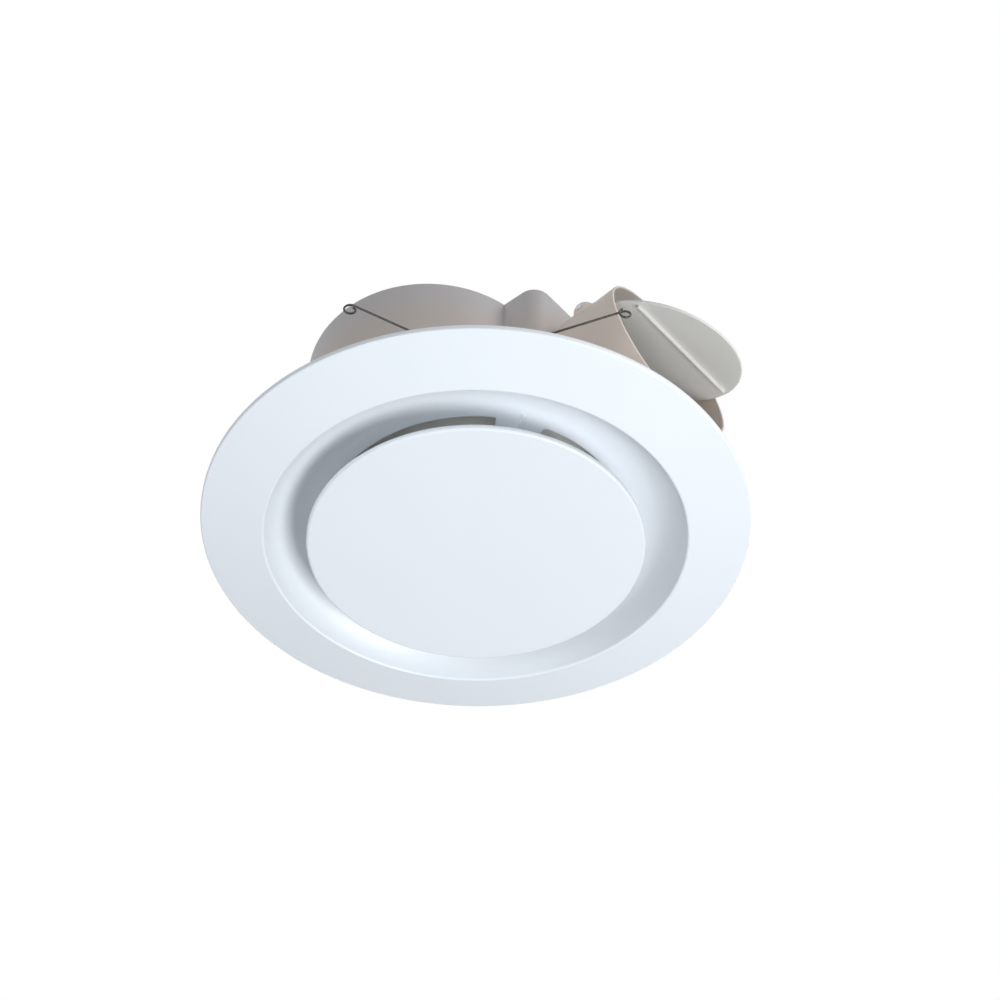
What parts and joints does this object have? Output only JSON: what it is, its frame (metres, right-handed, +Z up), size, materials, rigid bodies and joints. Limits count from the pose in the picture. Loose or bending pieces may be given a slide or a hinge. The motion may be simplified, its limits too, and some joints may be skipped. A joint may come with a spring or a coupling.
{
  "type": "exhaust fan",
  "caption": "Round ceiling exhaust fan with a floating disc fascia, scroll housing, centrifugal impeller, tilted duct spigot with a draught flap, and wire spring clips.",
  "frame": {"origin": "on the fascia's axis, in the plane of the ceiling's underside", "axes": "+Z up into the ceiling space, +X along the outlet duct as seen from above, +Y to its left"},
  "size_m": [0.3022, 0.295, 0.1404],
  "materials": {
    "white_plastic": "satin white moulded plastic",
    "grey_plastic": "light grey moulded plastic",
    "flap_plastic": "light grey moulded plastic",
    "cream_plastic": "moulded terminal block",
    "dark_plastic": "dark moulded plastic",
    "foam": "closed-cell foam strip",
    "black_rubber": "soft rubber",
    "bright_steel": "ground steel",
    "zinc_screw": "zinc-plated steel",
    "spring_wire": "dark drawn spring wire",
    "motor_metal": "zinc-coated pressed steel",
    "laminated_steel": "stacked laminations",
    "copper": "enamelled copper wire"
  },
  "bodies": {
    "housing": {"fascia_ring": "white_plastic", "fascia_disc": "white_plastic", "mount_pan": "grey_plastic", "inlet_bell": "grey_plastic", "scroll_shell": "grey_plastic", "scroll_cover": "grey_plastic", "duct_spigot": "grey_plastic", "damper_seat": "grey_plastic", "damper_spindle": "bright_steel", "terminal_box": "grey_plastic", "terminal_cover": "grey_plastic", "terminal_block": "cream_plastic", "cable_gland": "dark_plastic", "ceiling_gasket": "foam", "motor_can": "motor_metal", "motor_end_cap": "motor_metal", "bearing_lower": "bright_steel", "bearing_upper": "bright_steel", "motor_stator": "laminated_steel", "stator_windings": "copper", "motor_grommets": "black_rubber", "motor_screws": "zinc_screw", "cover_screws": "zinc_screw", "pan_screws": "zinc_screw", "spigot_screws": "zinc_screw", "terminal_screws": "zinc_screw", "spring_pins": "bright_steel"},
    "impeller": {"impeller_hub": "dark_plastic", "impeller_blades": "dark_plastic", "impeller_rim": "dark_plastic", "motor_rotor": "laminated_steel", "motor_shaft": "bright_steel", "shaft_clip": "bright_steel"},
    "damper": {"damper_flap": "flap_plastic"},
    "spring_near_left": {"spring_arm_near_left": "spring_wire"},
    "spring_near_right": {"spring_arm_near_right": "spring_wire"},
    "spring_far_left": {"spring_arm_far_left": "spring_wire"},
    "spring_far_right": {"spring_arm_far_right": "spring_wire"}
  },
  "joints": [
    {"name": "impeller_spin", "type": "hinge", "parent": "housing", "child": "impeller", "pos_m": [-0.0195, -0.0204, 0.06], "axis": [0, 0, 1], "continuous": true},
    {"name": "damper_swing", "type": "hinge", "parent": "housing", "child": "damper", "pos_m": [0.09291, 0.0244, 0.09872], "axis": [0, -1, 0], "range_deg": [-55, 8]},
    {"name": "spring_near_left_fold", "type": "hinge", "parent": "housing", "child": "spring_near_left", "pos_m": [0.07702, -0.08405, 0.019], "axis": [-0.6756, 0.7373, 0], "range_deg": [-20, 55], "stiffness_Nm_per_rad": 0.3},
    {"name": "spring_near_right_fold", "type": "hinge", "parent": "housing", "child": "spring_near_right", "pos_m": [0.07702, -0.08405, 0.019], "axis": [0.6756, -0.7373, 0], "range_deg": [-20, 55], "stiffness_Nm_per_rad": 0.3},
    {"name": "spring_far_left_fold", "type": "hinge", "parent": "housing", "child": "spring_far_left", "pos_m": [-0.07702, 0.08405, 0.019], "axis": [0.6756, -0.7373, 0], "range_deg": [-20, 55], "stiffness_Nm_per_rad": 0.3},
    {"name": "spring_far_right_fold", "type": "hinge", "parent": "housing", "child": "spring_far_right", "pos_m": [-0.07702, 0.08405, 0.019], "axis": [-0.6756, 0.7373, 0], "range_deg": [-20, 55], "stiffness_Nm_per_rad": 0.3}
  ]
}
